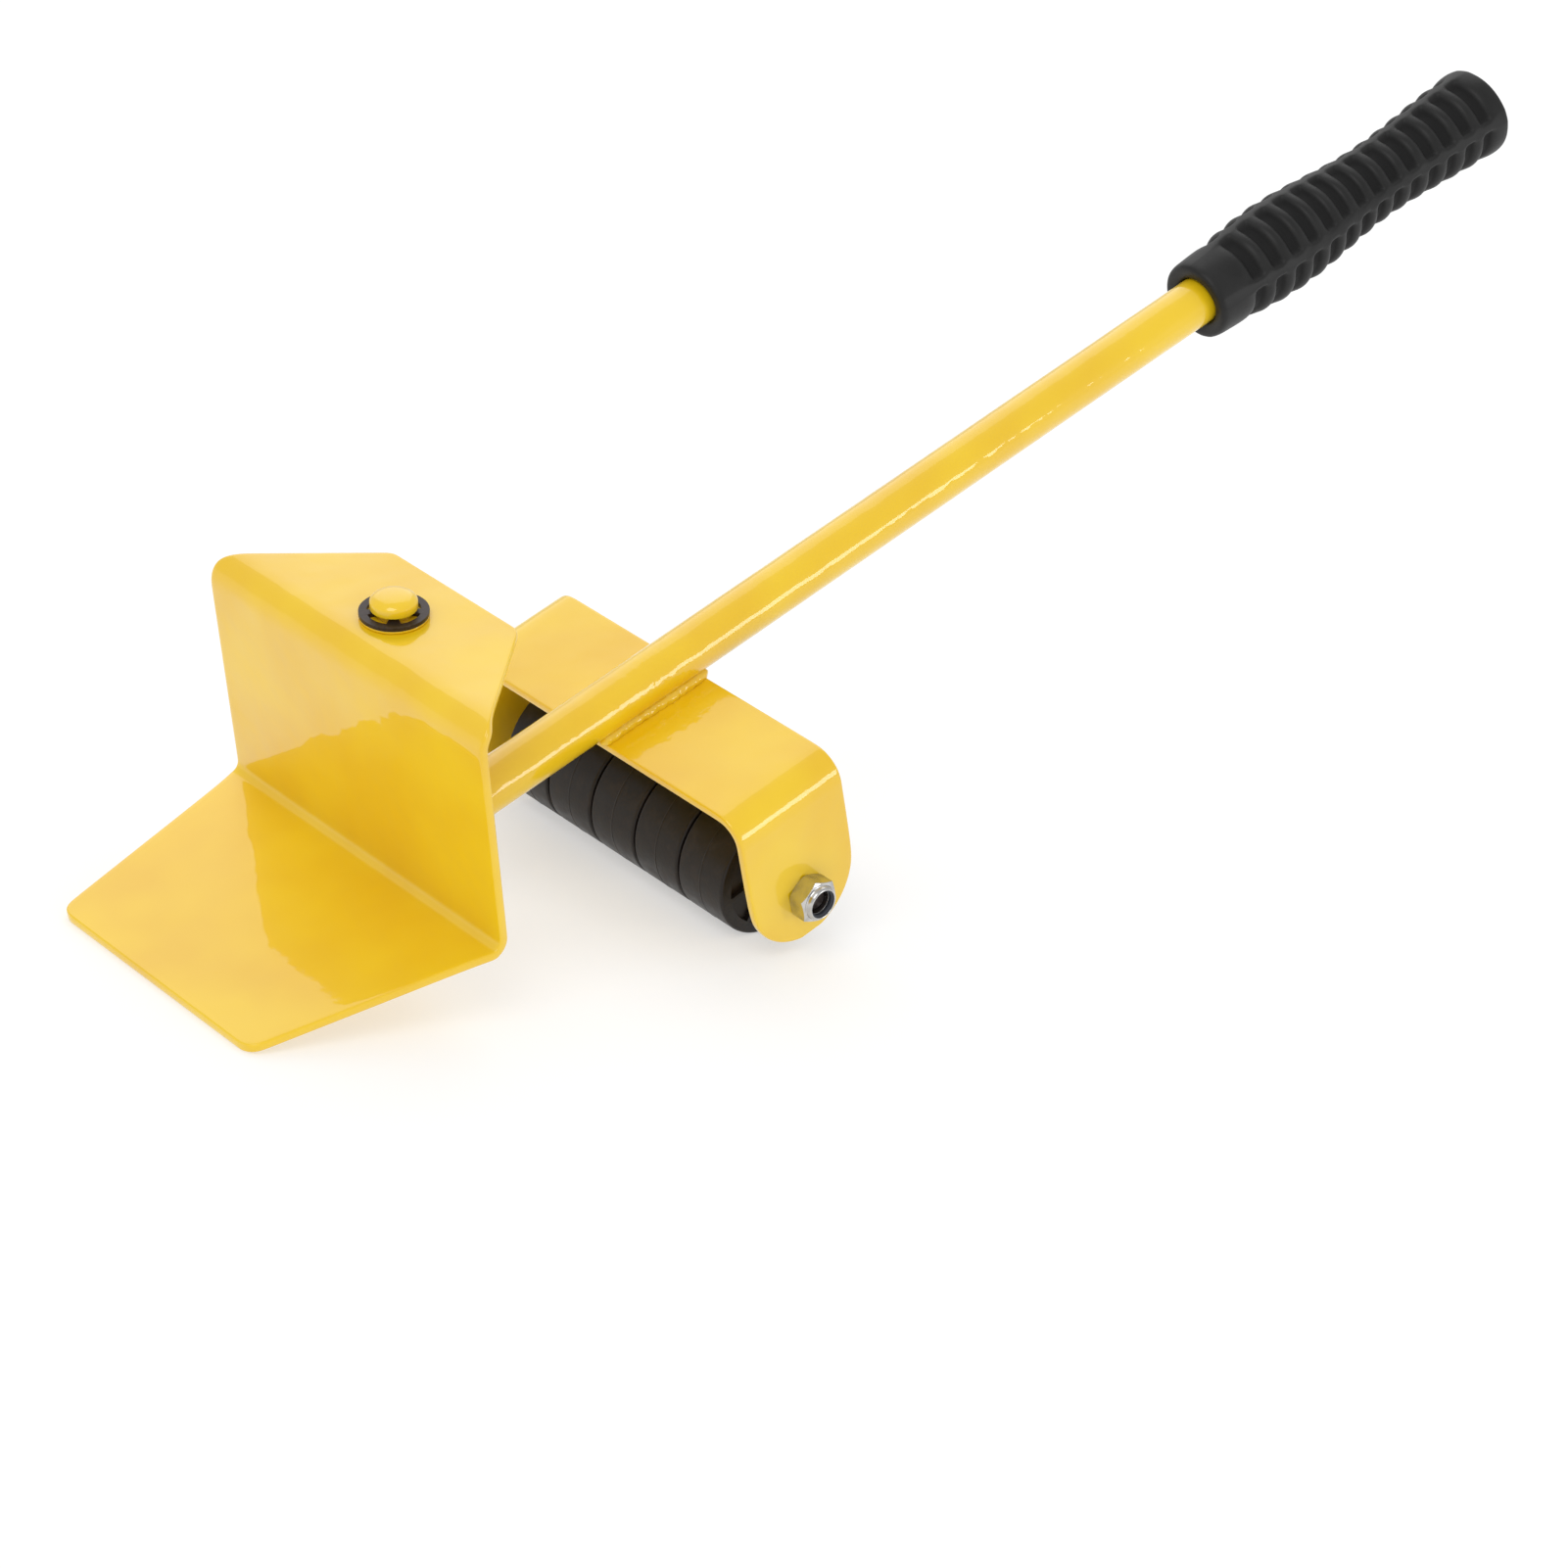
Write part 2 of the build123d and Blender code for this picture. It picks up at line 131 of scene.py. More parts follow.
class ToeJackFulcrum(bpy.types.PropertyGroup):
    """Bracket, rollers and axle, along the bar from the swivel axis."""
    front: length("Bracket front", 73.8, "Front edge of the bracket, along the bar")
    width: length("Bracket width", 41.2, "Width of the bracket along the bar")
    span: length("Half span", 65.6, "Half the outside width across the ears")
    bend: length("Shoulder radius", 9.5, "Outer radius of the bracket's bends")
    ear: length("Ear height", 57.0, "Top face to the lowest point of an ear")
    axle: length("Axle drop", 48.9, "Axle below the bar axis")
    bolt: length("Bolt radius", 4.0, "Radius of the axle bolt")
    flats: length("Nut flats", 13.0, "Width across the nut's flats")
    nut: length("Nut height", 8.0, "Height of the locking nut")
    wheel: length("Roller radius", 21.0, "Radius of the rollers")
    pitch: length("Roller pitch", 20.4, "Distance between roller centres")


class ToeJackGrip(bpy.types.PropertyGroup):
    """Hand grip, from its mouth along the bar."""
    start: length("Grip mouth", 341.0, "Distance along the bar of the grip's mouth")
    long: length("Grip length", 141.0, "Length of the grip")
    mouth: length("Mouth radius", 13.7, "Outside radius at the mouth")
    crest: length("Crest radius", 16.5, "Outside radius where the palm rests")
    waist: length("Waist radius", 13.4, "Outside radius at the waist")
    tail: length("End radius", 15.9, "Outside radius at the flared end")
    depth: length("Pocket depth", 2.4, "Depth of the pockets between the rings")
    pocket: length("Pocket length", 4.6, "Length of a pocket along the bar")
    pitch: length("Pocket pitch", 8.68, "Distance between pockets along the bar")
    first: length("First pocket", 17.8, "Middle of the first pocket from the mouth")
    rib: length("Rib width", 3.8, "Width of the four long ribs")
    clock: turn("Rib angle", 16.0, "Angle of the first rib above the -Y side")


class ToeJackColours(bpy.types.PropertyGroup):
    """Colours of the finishes."""
    enamel: colour("Enamel", "F1C90E", "Yellow enamel")
    enamel_deep: colour("Deep enamel", "EBBE08", "Enamel where it lies thicker")
    pit: colour("Paint pit", "6B4A10", "Specks where the enamel has pitted")
    rubber: colour("Grip rubber", "191919", "Moulded grip")
    nylon: colour("Roller nylon", "1D1815", "Moulded rollers")
    zinc: colour("Zinc", "C9C8C6", "Zinc-plated fasteners")
    oxide: colour("Spring steel", "2A2220", "Phosphated retaining clip")
    # Painted shade: the insert's near-black colour stands in for the shadowed hollow of the nut.
    insert: colour("Nut insert", "181A20", "Plastic ring of the locking nut")


class ToeJackStage(bpy.types.PropertyGroup):
    """Camera, floor and light."""
    azimuth: turn("Camera azimuth", -138.25, "Direction of the camera from +X")
    elevation: turn("Camera elevation", 24.39, "Camera above the horizon")
    roll: turn("Camera roll", 11.42, "Turn of the camera about its own axis")
    distance: length("Camera distance", 1411.5, "Camera to the point it looks at")
    lens: bpy.props.FloatProperty(
        name="Lens", description="Focal length on a 36 mm sensor", default=103.44, unit="CAMERA")
    floor: colour("Floor", "C0C0C0", "Plain pale floor")


class ToeJackSettings(bpy.types.PropertyGroup):
    """All the settings of the toe jack."""
    plate: bpy.props.PointerProperty(type=ToeJackPlate)
    lever: bpy.props.PointerProperty(type=ToeJackLever)
    fulcrum: bpy.props.PointerProperty(type=ToeJackFulcrum)
    grip: bpy.props.PointerProperty(type=ToeJackGrip)
    colours: bpy.props.PointerProperty(type=ToeJackColours)
    stage: bpy.props.PointerProperty(type=ToeJackStage)


# ---- Places ----

def head_frame():
    """Swivel frame: origin on the top flange, Z up the pin, X towards the handle."""
    joint = JOINTS["toe_swivel"]
    axis = Vector(joint["axis"])
    tilt = math.atan2(-axis.x, axis.z)
    return Matrix.Translation(joint["pos_m"]) @ Matrix.Rotation(-tilt, 4, "Y")


def bar_frame(settings, along=0.0, across=0.0, height=0.0):
    """A point of the bar's frame: X along the bar, Y across, Z square to it."""
    lever = settings.lever
    foot = Matrix.Translation((0, 0, -lever.drop)) @ Matrix.Rotation(-lever.rise, 4, "Y")
    return head_frame() @ foot @ Matrix.Translation((along, across, height))


def axle_frame(settings, across=0.0):
    """Axle frame: origin on the axle at a distance across, Z along +Y."""
    fulcrum = settings.fulcrum
    middle = fulcrum.front + fulcrum.width / 2
    place = bar_frame(settings, middle, across, -fulcrum.axle)
    return place @ Matrix.Rotation(-math.pi / 2, 4, "X")


def grip_frame(settings):
    """Grip frame: origin at the mouth, Z along the bar, X up from the bar."""
    place = bar_frame(settings, settings.grip.start)
    return place @ Matrix.Rotation(math.pi / 2, 4, "Y") @ Matrix.Rotation(math.pi, 4, "Z")


# ---- Mesh helpers ----

def new_piece(name, points, faces=(), edges=()):
    """Mesh object with smooth faces."""
    mesh = bpy.data.meshes.new(name)
    mesh.from_pydata([tuple(point) for point in points], edges, faces)
    mesh.polygons.foreach_set("use_smooth", [True] * len(mesh.polygons))
    piece = bpy.data.objects.new(name, mesh)
    bpy.context.scene.collection.objects.link(piece)
    return piece


def modify(piece, kind, **settings):
    """Adds a modifier with its settings."""
    modifier = piece.modifiers.new(kind.title(), kind)
    for key, value in settings.items():
        setattr(modifier, key, value)


def smooth(piece, levels):
    """Subdivision surface, the same in the viewport and the render."""
    modify(piece, "SUBSURF", levels=levels, render_levels=levels)


def soften(piece, width, angle):
    """Rounds the sharp edges and keeps the flat faces flat."""
    modify(piece, "BEVEL", width=width, segments=2, limit_method="ANGLE",
           angle_limit=math.radians(angle))
    modify(piece, "WEIGHTED_NORMAL", keep_sharp=True, weight=50)


def apply_stack(piece, place=None):
    """Applies the modifiers, then moves the mesh to its place."""
    graph = bpy.context.evaluated_depsgraph_get()
    mesh = bpy.data.meshes.new_from_object(
        piece.evaluated_get(graph), preserve_all_data_layers=True, depsgraph=graph)
    piece.modifiers.clear()
    piece.data = mesh
    if place is not None:
        mesh.transform(place)
    mesh.update()
    return piece


def turned(name, profile, place, steps=96, bevel=0.0):
    """Turned piece from (radius, height) points, open only where it meets its own axis."""
    last = len(profile) - 1
    edges = [(index, index + 1) for index in range(last)]
    if profile[0][0] > 0:
        edges.append((last, 0))
    points = [(radius, 0, height) for radius, height in profile]
    piece = new_piece(name, points, edges=edges)
    modify(piece, "SCREW", steps=steps, render_steps=steps, use_merge_vertices=True,
           merge_threshold=1e-6, use_smooth_shade=True)
    apply_stack(piece)
    if bevel:
        soften(piece, bevel, angle=25.0)
        apply_stack(piece)
    return apply_stack(piece, place)


def circle_ring(radius, height, count=48):
    """Ring round a circle."""
    return [
        (radius * math.cos(a), radius * math.sin(a), height)
        for a in (2 * math.pi * step / count for step in range(count))]


def hexagon_ring(flats, height, drop=0.0):
    """Ring round a hexagon, its corners lowered by drop times their reach past the flats."""
    count = 48
    ring = []
    for step in range(count):
        angle = 2 * math.pi * step / count
        sector = (angle + math.pi / 6) % (math.pi / 3) - math.pi / 6
        radius = flats / 2 / math.cos(sector)
        lowered = height - drop * (radius - flats / 2)
        ring.append((radius * math.cos(angle), radius * math.sin(angle), lowered))
    return ring


def ringed(name, rings, place, looped=False):
    """Closed skin over rings of equal point counts, looped or else ended by flat fans."""
    count = len(rings[0])
    last = len(rings) - 1
    points = [point for ring in rings for point in ring]
    spans = [(row, row + 1) for row in range(last)]
    if looped:
        spans.append((last, 0))
    faces = []
    for low, high in spans:
        for column in range(count):
            beside = (column + 1) % count
            faces.append((low * count + column, low * count + beside,
                          high * count + beside, high * count + column))
    for end in () if looped else (0, last):
        centre = len(points)
        points.append(sum((Vector(point) for point in rings[end]), Vector()) / count)
        faces += [(end * count + column, end * count + (column + 1) % count, centre)
                  for column in range(count)]
    piece = new_piece(name, points, faces)
    mesh = bmesh.new()
    mesh.from_mesh(piece.data)
    bmesh.ops.recalc_face_normals(mesh, faces=mesh.faces)
    mesh.to_mesh(piece.data)
    mesh.free()
    piece.data.transform(place)
    return piece


def cut_hole(piece, radius, place):
    """Round hole through a piece, by a helper that is removed again."""
    reach = 0.1
    helper = ringed("hole_helper", [circle_ring(radius, z, 64) for z in (-reach, reach)], place)
    modify(piece, "BOOLEAN", object=helper, operation="DIFFERENCE", solver="EXACT")
    apply_stack(piece)
    bpy.data.objects.remove(helper)
    piece.data.set_sharp_from_angle(angle=math.radians(35))


def wear(piece, body, slot, maker, *nodes):
    """Gives a piece its material, made once, and lets it ride on a body in place of nodes."""
    material = (bpy.data.materials.get(maker.__name__)
                or maker(bpy.context.scene.toe_jack.colours))
    piece.data.materials.clear()
    piece.data.materials.append(material)
    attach(piece, body)
    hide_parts(*nodes)


def arc_points(centre, radius, start, end, steps):
    """Points of an arc in a plane, ends included."""
    angles = [start + (end - start) * step / steps for step in range(steps + 1)]
    return [centre + Vector((math.cos(a), math.sin(a))) * radius for a in angles]


def rounded_path(corners, radii, steps):
    """Polyline of 2-D points with its inner corners replaced by arcs."""
    path = [corners[0].copy()]
    for before, corner, after, radius in zip(corners, corners[1:], corners[2:], radii):
        inward = (before - corner).normalized()
        onward = (after - corner).normalized()
        half = inward.angle(onward) / 2
        tangent = radius / math.tan(half)
        centre = corner + (inward + onward).normalized() * radius / math.sin(half)
        first = corner + inward * tangent - centre
        last = corner + onward * tangent - centre
        start = math.atan2(first.y, first.x)
        sweep = math.atan2(first.cross(last), first.dot(last))
        path += arc_points(centre, radius, start, start + sweep, steps)
    path.append(corners[-1].copy())
    return path


def folded_sheet(name, stations, place, thickness, levels, margin):
    """Sheet metal from stations of (point, half width): a cage that is thickened and smoothed.

    The points lie in the frame's X-Z plane, and the sheet's outer face looks to the right of
    the path as seen from -Y.
    """
    shares = (-1.0, -0.5, 0.0, 0.5, 1.0)
    points = []
    for point, half in stations:
        row = [-half, *(share * (half - margin) for share in shares), half]
        points += [(point.x, across, point.y) for across in row]
    count = len(shares) + 2
    faces = []
    for row in range(len(stations) - 1):
        for column in range(count - 1):
            low = row * count + column
            high = low + count
            faces.append((low, low + 1, high + 1, high))
    piece = new_piece(name, points, faces)
    modify(piece, "SOLIDIFY", thickness=thickness, offset=-1.0, use_even_offset=True)
    smooth(piece, levels)
    return apply_stack(piece, place)


# ---- Materials ----

def add(tree, kind, settings=None, links=None):
    """Adds a node, sets its options or its inputs' values, and links its inputs."""
    made = tree.nodes.new(kind)
    for key, value in (settings or {}).items():
        if isinstance(key, int) or key in made.inputs:
            made.inputs[key].default_value = value
        else:
            setattr(made, key, value)
    for key, source in (links or {}).items():
        tree.links.new(source, made.inputs[key])
    return made


def new_material(name, constants):
    """Material with a Principled shader alone; returns it, its tree, shader and coordinates."""
    material = bpy.data.materials.new(name)
    material.use_nodes = True
    tree = material.node_tree
    tree.nodes.clear()
    shader = add(tree, "ShaderNodeBsdfPrincipled", constants)
    add(tree, "ShaderNodeOutputMaterial", {}, {"Surface": shader.outputs["BSDF"]})
    place = add(tree, "ShaderNodeTexCoord").outputs["Object"]
    return material, tree, shader, place


def times(tone, share):
    """A colour times a share."""
    return [share * channel for channel in tone]


def mottled(tree, place, tone, other, size, detail=2.0, low=0.0, high=1.0):
    """Colour that drifts to another in clouds of a size; returns the colour and the clouds."""
    clouds = add(tree, "ShaderNodeTexNoise", {"Scale": 1 / size, "Detail": detail},
                 {"Vector": place}).outputs["Fac"]
    share = add(tree, "ShaderNodeMapRange", {1: low, 2: high}, {0: clouds})
    tint = add(tree, "ShaderNodeMix",
               {"data_type": "RGBA", 6: (*tone, 1), 7: (*other, 1)}, {0: share.outputs[0]})
    return tint.outputs[2], clouds


def grained(tree, place, shader, size, detail, depth):
    """Roughens the shader's normal by a fine grain of a size and a depth."""
    grain = add(tree, "ShaderNodeTexNoise", {"Scale": 1 / size, "Detail": detail},
                {"Vector": place})
    bump = add(tree, "ShaderNodeBump", {"Distance": depth}, {"Height": grain.outputs["Fac"]})
    tree.links.new(bump.outputs["Normal"], shader.inputs["Normal"])


def gloss_enamel(colours):
    """Stoved gloss enamel over mild steel: a thick coat that mirrors what stands near it."""
    material, tree, shader, place = new_material("gloss_enamel", {
        "Roughness": 0.42, "Specular IOR Level": 0.3, "IOR": 1.5, "Coat Weight": 1.0,
        "Coat Roughness": 0.035})
    # The film lies a little thicker and deeper in patches a few centimetres across.
    tint, _ = mottled(tree, place, colours.enamel, colours.enamel_deep, 35 * MM,
                      low=0.35, high=0.65)
    # Low down, dirt has left sparse pits about 1 mm across in few of the cells of 12 mm.
    height = add(tree, "ShaderNodeSeparateXYZ", {}, {0: place})
    raised = add(tree, "ShaderNodeMapRange", {1: 18 * MM, 2: 45 * MM},
                 {0: height.outputs["Z"]})
    cells = add(tree, "ShaderNodeTexVoronoi", {"Scale": 1 / (12 * MM)}, {"Vector": place})
    spot = add(tree, "ShaderNodeMapRange", {1: 0.03, 2: 0.05, 3: 1.0, 4: 0.0},
               {0: cells.outputs["Distance"]})
    chance = add(tree, "ShaderNodeSeparateColor", {}, {0: cells.outputs["Color"]})
    odds = add(tree, "ShaderNodeMath", {"operation": "SUBTRACT"},
               {0: chance.outputs[0], 1: raised.outputs[0]})
    chosen = add(tree, "ShaderNodeMath", {"operation": "GREATER_THAN", 1: 0.84},
                 {0: odds.outputs[0]})
    pits = add(tree, "ShaderNodeMath", {"operation": "MULTIPLY"},
               {0: spot.outputs[0], 1: chosen.outputs[0]})
    pitted = add(tree, "ShaderNodeMix", {"data_type": "RGBA", 7: (*colours.pit, 1)},
                 {0: pits.outputs[0], 6: tint})
    tree.links.new(pitted.outputs[2], shader.inputs["Base Color"])
    # The sheet and its film ripple over about 22 mm, most on the upright faces, which makes
    # mirrored edges wander.
    ripple = add(tree, "ShaderNodeTexNoise", {"Scale": 1 / (22 * MM), "Detail": 2.5},
                 {"Vector": place})
    swell = add(tree, "ShaderNodeMapRange", {1: 0.0, 2: 1.0, 3: 0.3, 4: 1.0},
                {0: raised.outputs[0]})
    waves = add(tree, "ShaderNodeMath", {"operation": "MULTIPLY"},
                {0: ripple.outputs["Fac"], 1: swell.outputs[0]})
    rippled = add(tree, "ShaderNodeBump", {"Distance": 0.75 * MM}, {"Height": waves.outputs[0]})
    # Orange peel of 2.5 mm.
    peel = add(tree, "ShaderNodeTexNoise", {"Scale": 1 / (2.5 * MM), "Detail": 1.0},
               {"Vector": place})
    peeled = add(tree, "ShaderNodeBump", {"Distance": 0.012 * MM},
                 {"Height": peel.outputs["Fac"], "Normal": rippled.outputs["Normal"]})
    # Spatter and runs of 4 mm lie under the paint close to the welds.
    weld_along, weld_height = 97 * MM, -6 * MM
    weld = bar_frame(bpy.context.scene.toe_jack, weld_along, 0, weld_height).translation
    away = add(tree, "ShaderNodeVectorMath", {"operation": "DISTANCE", 1: weld}, {0: place})
    near = add(tree, "ShaderNodeMapRange", {1: 12 * MM, 2: 26 * MM, 3: 1.0, 4: 0.0},
               {0: away.outputs["Value"]})
    runs = add(tree, "ShaderNodeTexNoise", {"Scale": 1 / (4 * MM), "Detail": 2.0},
               {"Vector": place})
    lumps = add(tree, "ShaderNodeMath", {"operation": "MULTIPLY"},
                {0: runs.outputs["Fac"], 1: near.outputs[0]})
    lumpy = add(tree, "ShaderNodeBump", {"Distance": 0.3 * MM},
                {"Height": lumps.outputs[0], "Normal": peeled.outputs["Normal"]})
    tree.links.new(lumpy.outputs["Normal"], shader.inputs["Normal"])
    tree.links.new(lumpy.outputs["Normal"], shader.inputs["Coat Normal"])
    return material


def moulded_rubber(colours):
    """Moulded soft vinyl: near black and satin; duller in the pockets, whose floors get painted
    shade.
    """
    material, tree, shader, place = new_material("moulded_rubber", {"Specular IOR Level": 0.28})
    tone = colours.rubber
    tint, _ = mottled(tree, place, tone, times(tone, 1.7), 9 * MM, 4.0, 0.4, 0.75)
    pocket = add(tree, "ShaderNodeAttribute", {"attribute_name": "pocket"})
    # Painted shade: the pocket floors are mixed towards 0.45 of the rubber's colour, where shade
    # falls in the pockets.
    pocket_shade = add(tree, "ShaderNodeMix", {"data_type": "RGBA", 7: (*times(tone, 0.45), 1)},
               {0: pocket.outputs["Fac"], 6: tint})
    tree.links.new(pocket_shade.outputs[2], shader.inputs["Base Color"])
    # The mould's 0.3 mm grain is too fine to show, so it is drawn at 0.8 mm.
    grained(tree, place, shader, 0.8 * MM, 3.0, 0.05 * MM)
    sheen = add(tree, "ShaderNodeMapRange", {1: 0.0, 2: 1.0, 3: 0.46, 4: 0.85},
                {0: pocket.outputs["Fac"]})
    tree.links.new(sheen.outputs[0], shader.inputs["Roughness"])
    return material


def moulded_nylon(colours):
    """Moulded nylon: brown-black, satin, with faint scuffs round the tread."""
    material, tree, shader, place = new_material("moulded_nylon", {"Specular IOR Level": 0.3})
    tone = colours.nylon
    tint, scuffs = mottled(tree, place, tone, times(tone, 2.4), 5 * MM, 5.0, 0.5, 0.8)
    tree.links.new(tint, shader.inputs["Base Color"])
    grained(tree, place, shader, 1.2 * MM, 3.0, 0.05 * MM)
    sheen = add(tree, "ShaderNodeMapRange", {1: 0.3, 2: 0.7, 3: 0.32, 4: 0.5}, {0: scuffs})
    tree.links.new(sheen.outputs[0], shader.inputs["Roughness"])
    return material


def bright_zinc(colours):
    """Bright zinc plate on cold-formed steel: metallic, with a patchy passivated film."""
    material, tree, shader, place = new_material("bright_zinc", {"Metallic": 1.0})
    tone = colours.zinc
    tint, film = mottled(tree, place, tone, times(tone, 0.66), 4 * MM, 3.0, 0.4, 0.75)
    tree.links.new(tint, shader.inputs["Base Color"])
    rough = add(tree, "ShaderNodeMapRange", {1: 0.3, 2: 0.7, 3: 0.12, 4: 0.28}, {0: film})
    tree.links.new(rough.outputs[0], shader.inputs["Roughness"])
    grained(tree, place, shader, 1.4 * MM, 1.0, 0.01 * MM)
    return material


def phosphated_steel(colours):
    """Phosphated spring steel: brown-black, finely crystalline and satin."""
    material, tree, shader, place = new_material("phosphated_steel", {"Metallic": 0.5})
    tone = colours.oxide
    tint, crystals = mottled(tree, place, tone, times(tone, 2.2), 0.9 * MM, 4.0, 0.35, 0.7)
    tree.links.new(tint, shader.inputs["Base Color"])
    rough = add(tree, "ShaderNodeMapRange", {1: 0.35, 2: 0.7, 3: 0.28, 4: 0.45}, {0: crystals})
    tree.links.new(rough.outputs[0], shader.inputs["Roughness"])
    return material


def insert_nylon(colours):
    """Nylon ring painted near black as shade in the nut's hollow: satin and a little waxy."""
    material, tree, shader, place = new_material("insert_nylon", {"Roughness": 0.38})
    tone = colours.insert
    tint, _ = mottled(tree, place, tone, times(tone, 1.8), 1.5 * MM)
    tree.links.new(tint, shader.inputs["Base Color"])
    return material


def floor_paint(tone):
    """Pale acrylic table, lit softly from below: matt, a shade uneven over a metre or so."""
    material, tree, shader, place = new_material("plain_floor", {
        "Roughness": 0.9, "Specular IOR Level": 0.1, "Emission Color": (1, 1, 1, 1),
        "Emission Strength": 0.5})
    tint, _ = mottled(tree, place, tone, times(tone, 0.995), 1 / 1.2, 1.0)
    tree.links.new(tint, shader.inputs["Base Color"])
    return material


# ---- Lifting plate ----

def tapered_half(x, end, wide, narrow, start, radius):
    """Half width at x of an outline that narrows from start to end, with a rounded corner."""
    slope = (narrow - wide) / (end - start)
    side = 1 if end > start else -1
    if (x - start) * side <= 0:
        return wide
    lean = math.atan(slope * side)
    centre_x = end - side * radius
    centre_half = wide + slope * (centre_x - start) - radius / math.cos(lean)
    tangent_x = centre_x - side * radius * math.sin(lean)
    if (x - tangent_x) * side <= 0:
        return wide + slope * (x - start)
    reach = min(abs(x - centre_x), radius)
    return centre_half + math.sqrt(radius * radius - reach * reach)


def plate_stations(plate):
    """Stations of the lifting plate's upper face, from the flange's back to the toe's tip."""
    down = Vector((math.sin(plate.lean), -math.cos(plate.lean)))
    forward = Vector((-math.cos(plate.lean), -math.sin(plate.lean)))
    back = Vector((plate.back, 0.0))
    upper = Vector((plate.front, 0.0))
    crease = upper + down * plate.web
    tip = crease + forward * plate.toe
    steps = 5
    path = rounded_path([back, upper, crease, tip], [plate.upper_bend, plate.lower_bend], steps)
    # The outline narrows from one line on the flange backwards, from another on the toe forwards.
    flange_start = -17.0 * MM
    toe_start = -14.0 * MM
    margins = [0.0, 0.8 * MM, 2.0 * MM, 3.5 * MM, 6.0 * MM]
    head = [back - Vector((step, 0.0)) for step in margins]
    head += [Vector((x * MM, 0.0)) for x in (9.0, 0.0, -8.0)]
    upper_bend, lower_bend = path[1:steps + 2], path[steps + 2:-1]
    web = [upper_bend[-1].lerp(lower_bend[0], share) for share in (0.06, 0.35, 0.65, 0.94)]
    toe = [lower_bend[-1].lerp(tip, share) for share in (0.06, 0.35, 0.65)]
    toe += [tip - forward * step for step in reversed(margins)]
    stations = [(point, tapered_half(point.x, plate.back, plate.half, plate.back_half,
                                     flange_start, plate.back_corner))
                for point in head + upper_bend]
    stations += [(point, plate.half) for point in web + lower_bend]
    stations += [(point, tapered_half(point.x, tip.x, plate.half, plate.tip_half,
                                      toe_start, plate.tip_corner))
                 for point in toe]
    return stations


class TOEJACK_OT_lifting_plate(bpy.types.Operator):
    """Make the Z-bent lifting plate with rounded sheet edges"""
    bl_idname = "toe_jack.lifting_plate"
    bl_label = "Lifting Plate"

    def execute(self, context):
        settings = context.scene.toe_jack
        plate = settings.plate
        piece = folded_sheet("lifting_plate_sheet", plate_stations(plate), head_frame(),
                             plate.sheet, levels=3, margin=1.0 * MM)
        cut_hole(piece, settings.lever.pin + 0.05 * MM, head_frame())
        wear(piece, "toe_plate", "yellow_enamel", gloss_enamel, "lifting_plate")
        return {"FINISHED"}


# ---- Lever bar and swivel fittings ----

class TOEJACK_OT_lever_bar(bpy.types.Operator):
    """Make the bent tube of the lever"""
    bl_idname = "toe_jack.lever_bar"
    bl_label = "Lever Bar"

    def execute(self, context):
        settings = context.scene.toe_jack
        lever = settings.lever
        rise = Vector((math.cos(lever.rise), math.sin(lever.rise)))
        corner = Vector((0.0, -lever.drop))
        start = Vector((0.0, TUBE_TOP))
        bend_steps = 24
        path = rounded_path([start, corner, corner + rise * lever.end], [lever.bend], bend_steps)
        rings = []
        for index, point in enumerate(path):
            turned_share = min(max((index - 1) / bend_steps, 0.0), 1.0)
            heading = -math.pi / 2 + turned_share * (math.pi / 2 + lever.rise)
            normal = Vector((-math.sin(heading), math.cos(heading)))
            rings.append([
                (point.x + normal.x * away, across, point.y + normal.y * away)
                for away, across, _ in circle_ring(lever.radius, 0.0)])
        piece = ringed("lever_bar_tube", rings, head_frame())
        piece.data.set_sharp_from_angle(angle=math.radians(50))
        wear(piece, "lever", "yellow_enamel", gloss_enamel, "lever_bar")
        return {"FINISHED"}


